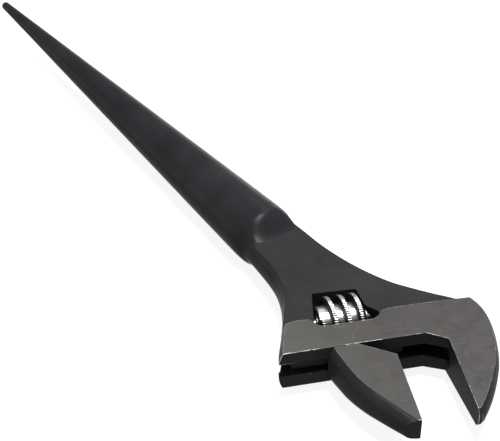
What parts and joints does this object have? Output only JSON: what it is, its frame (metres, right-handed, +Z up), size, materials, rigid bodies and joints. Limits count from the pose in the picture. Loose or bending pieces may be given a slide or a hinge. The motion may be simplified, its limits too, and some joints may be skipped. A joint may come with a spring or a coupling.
{
  "type": "adjustable spud wrench",
  "caption": "Forged wrench with a tapered round spud handle, a fixed jaw and a sliding jaw that a worm drives along a round rack shank.",
  "frame": {"origin": "middle of the fixed jaw's gripping face, at mid thickness", "axes": "+X is the way the movable jaw opens, +Y points out of the jaws' mouth, +Z points up out of one ground face"},
  "size_m": [0.1797, 0.3751, 0.0286],
  "materials": {
    "black_oxide": "matt black oxide on a forged surface",
    "ground_black_oxide": "thin black oxide over ground faces",
    "bright_steel": "bright turned and knurled",
    "pin_steel": "turned",
    "spring_steel": "drawn wire"
  },
  "bodies": {
    "frame": {"body": "black_oxide", "worm_pin": "pin_steel", "worm_spring": "spring_steel"},
    "jaw": {"movable_jaw": "ground_black_oxide"},
    "knurl": {"worm": "bright_steel"}
  },
  "joints": [
    {"name": "jaw_slide", "type": "slide", "parent": "frame", "child": "jaw", "axis": [1, 0, 0], "range_m": [-0.0216, 0.0194]},
    {"name": "worm_spin", "type": "hinge", "parent": "frame", "child": "knurl", "pos_m": [0.0355, -0.0453, 0], "axis": [1, 0, 0], "range_deg": [-1500, 1500]}
  ],
  "couplings": [
    {"joint": "worm_spin", "follows": "jaw_slide", "rad_per_m": -1163.6}
  ]
}
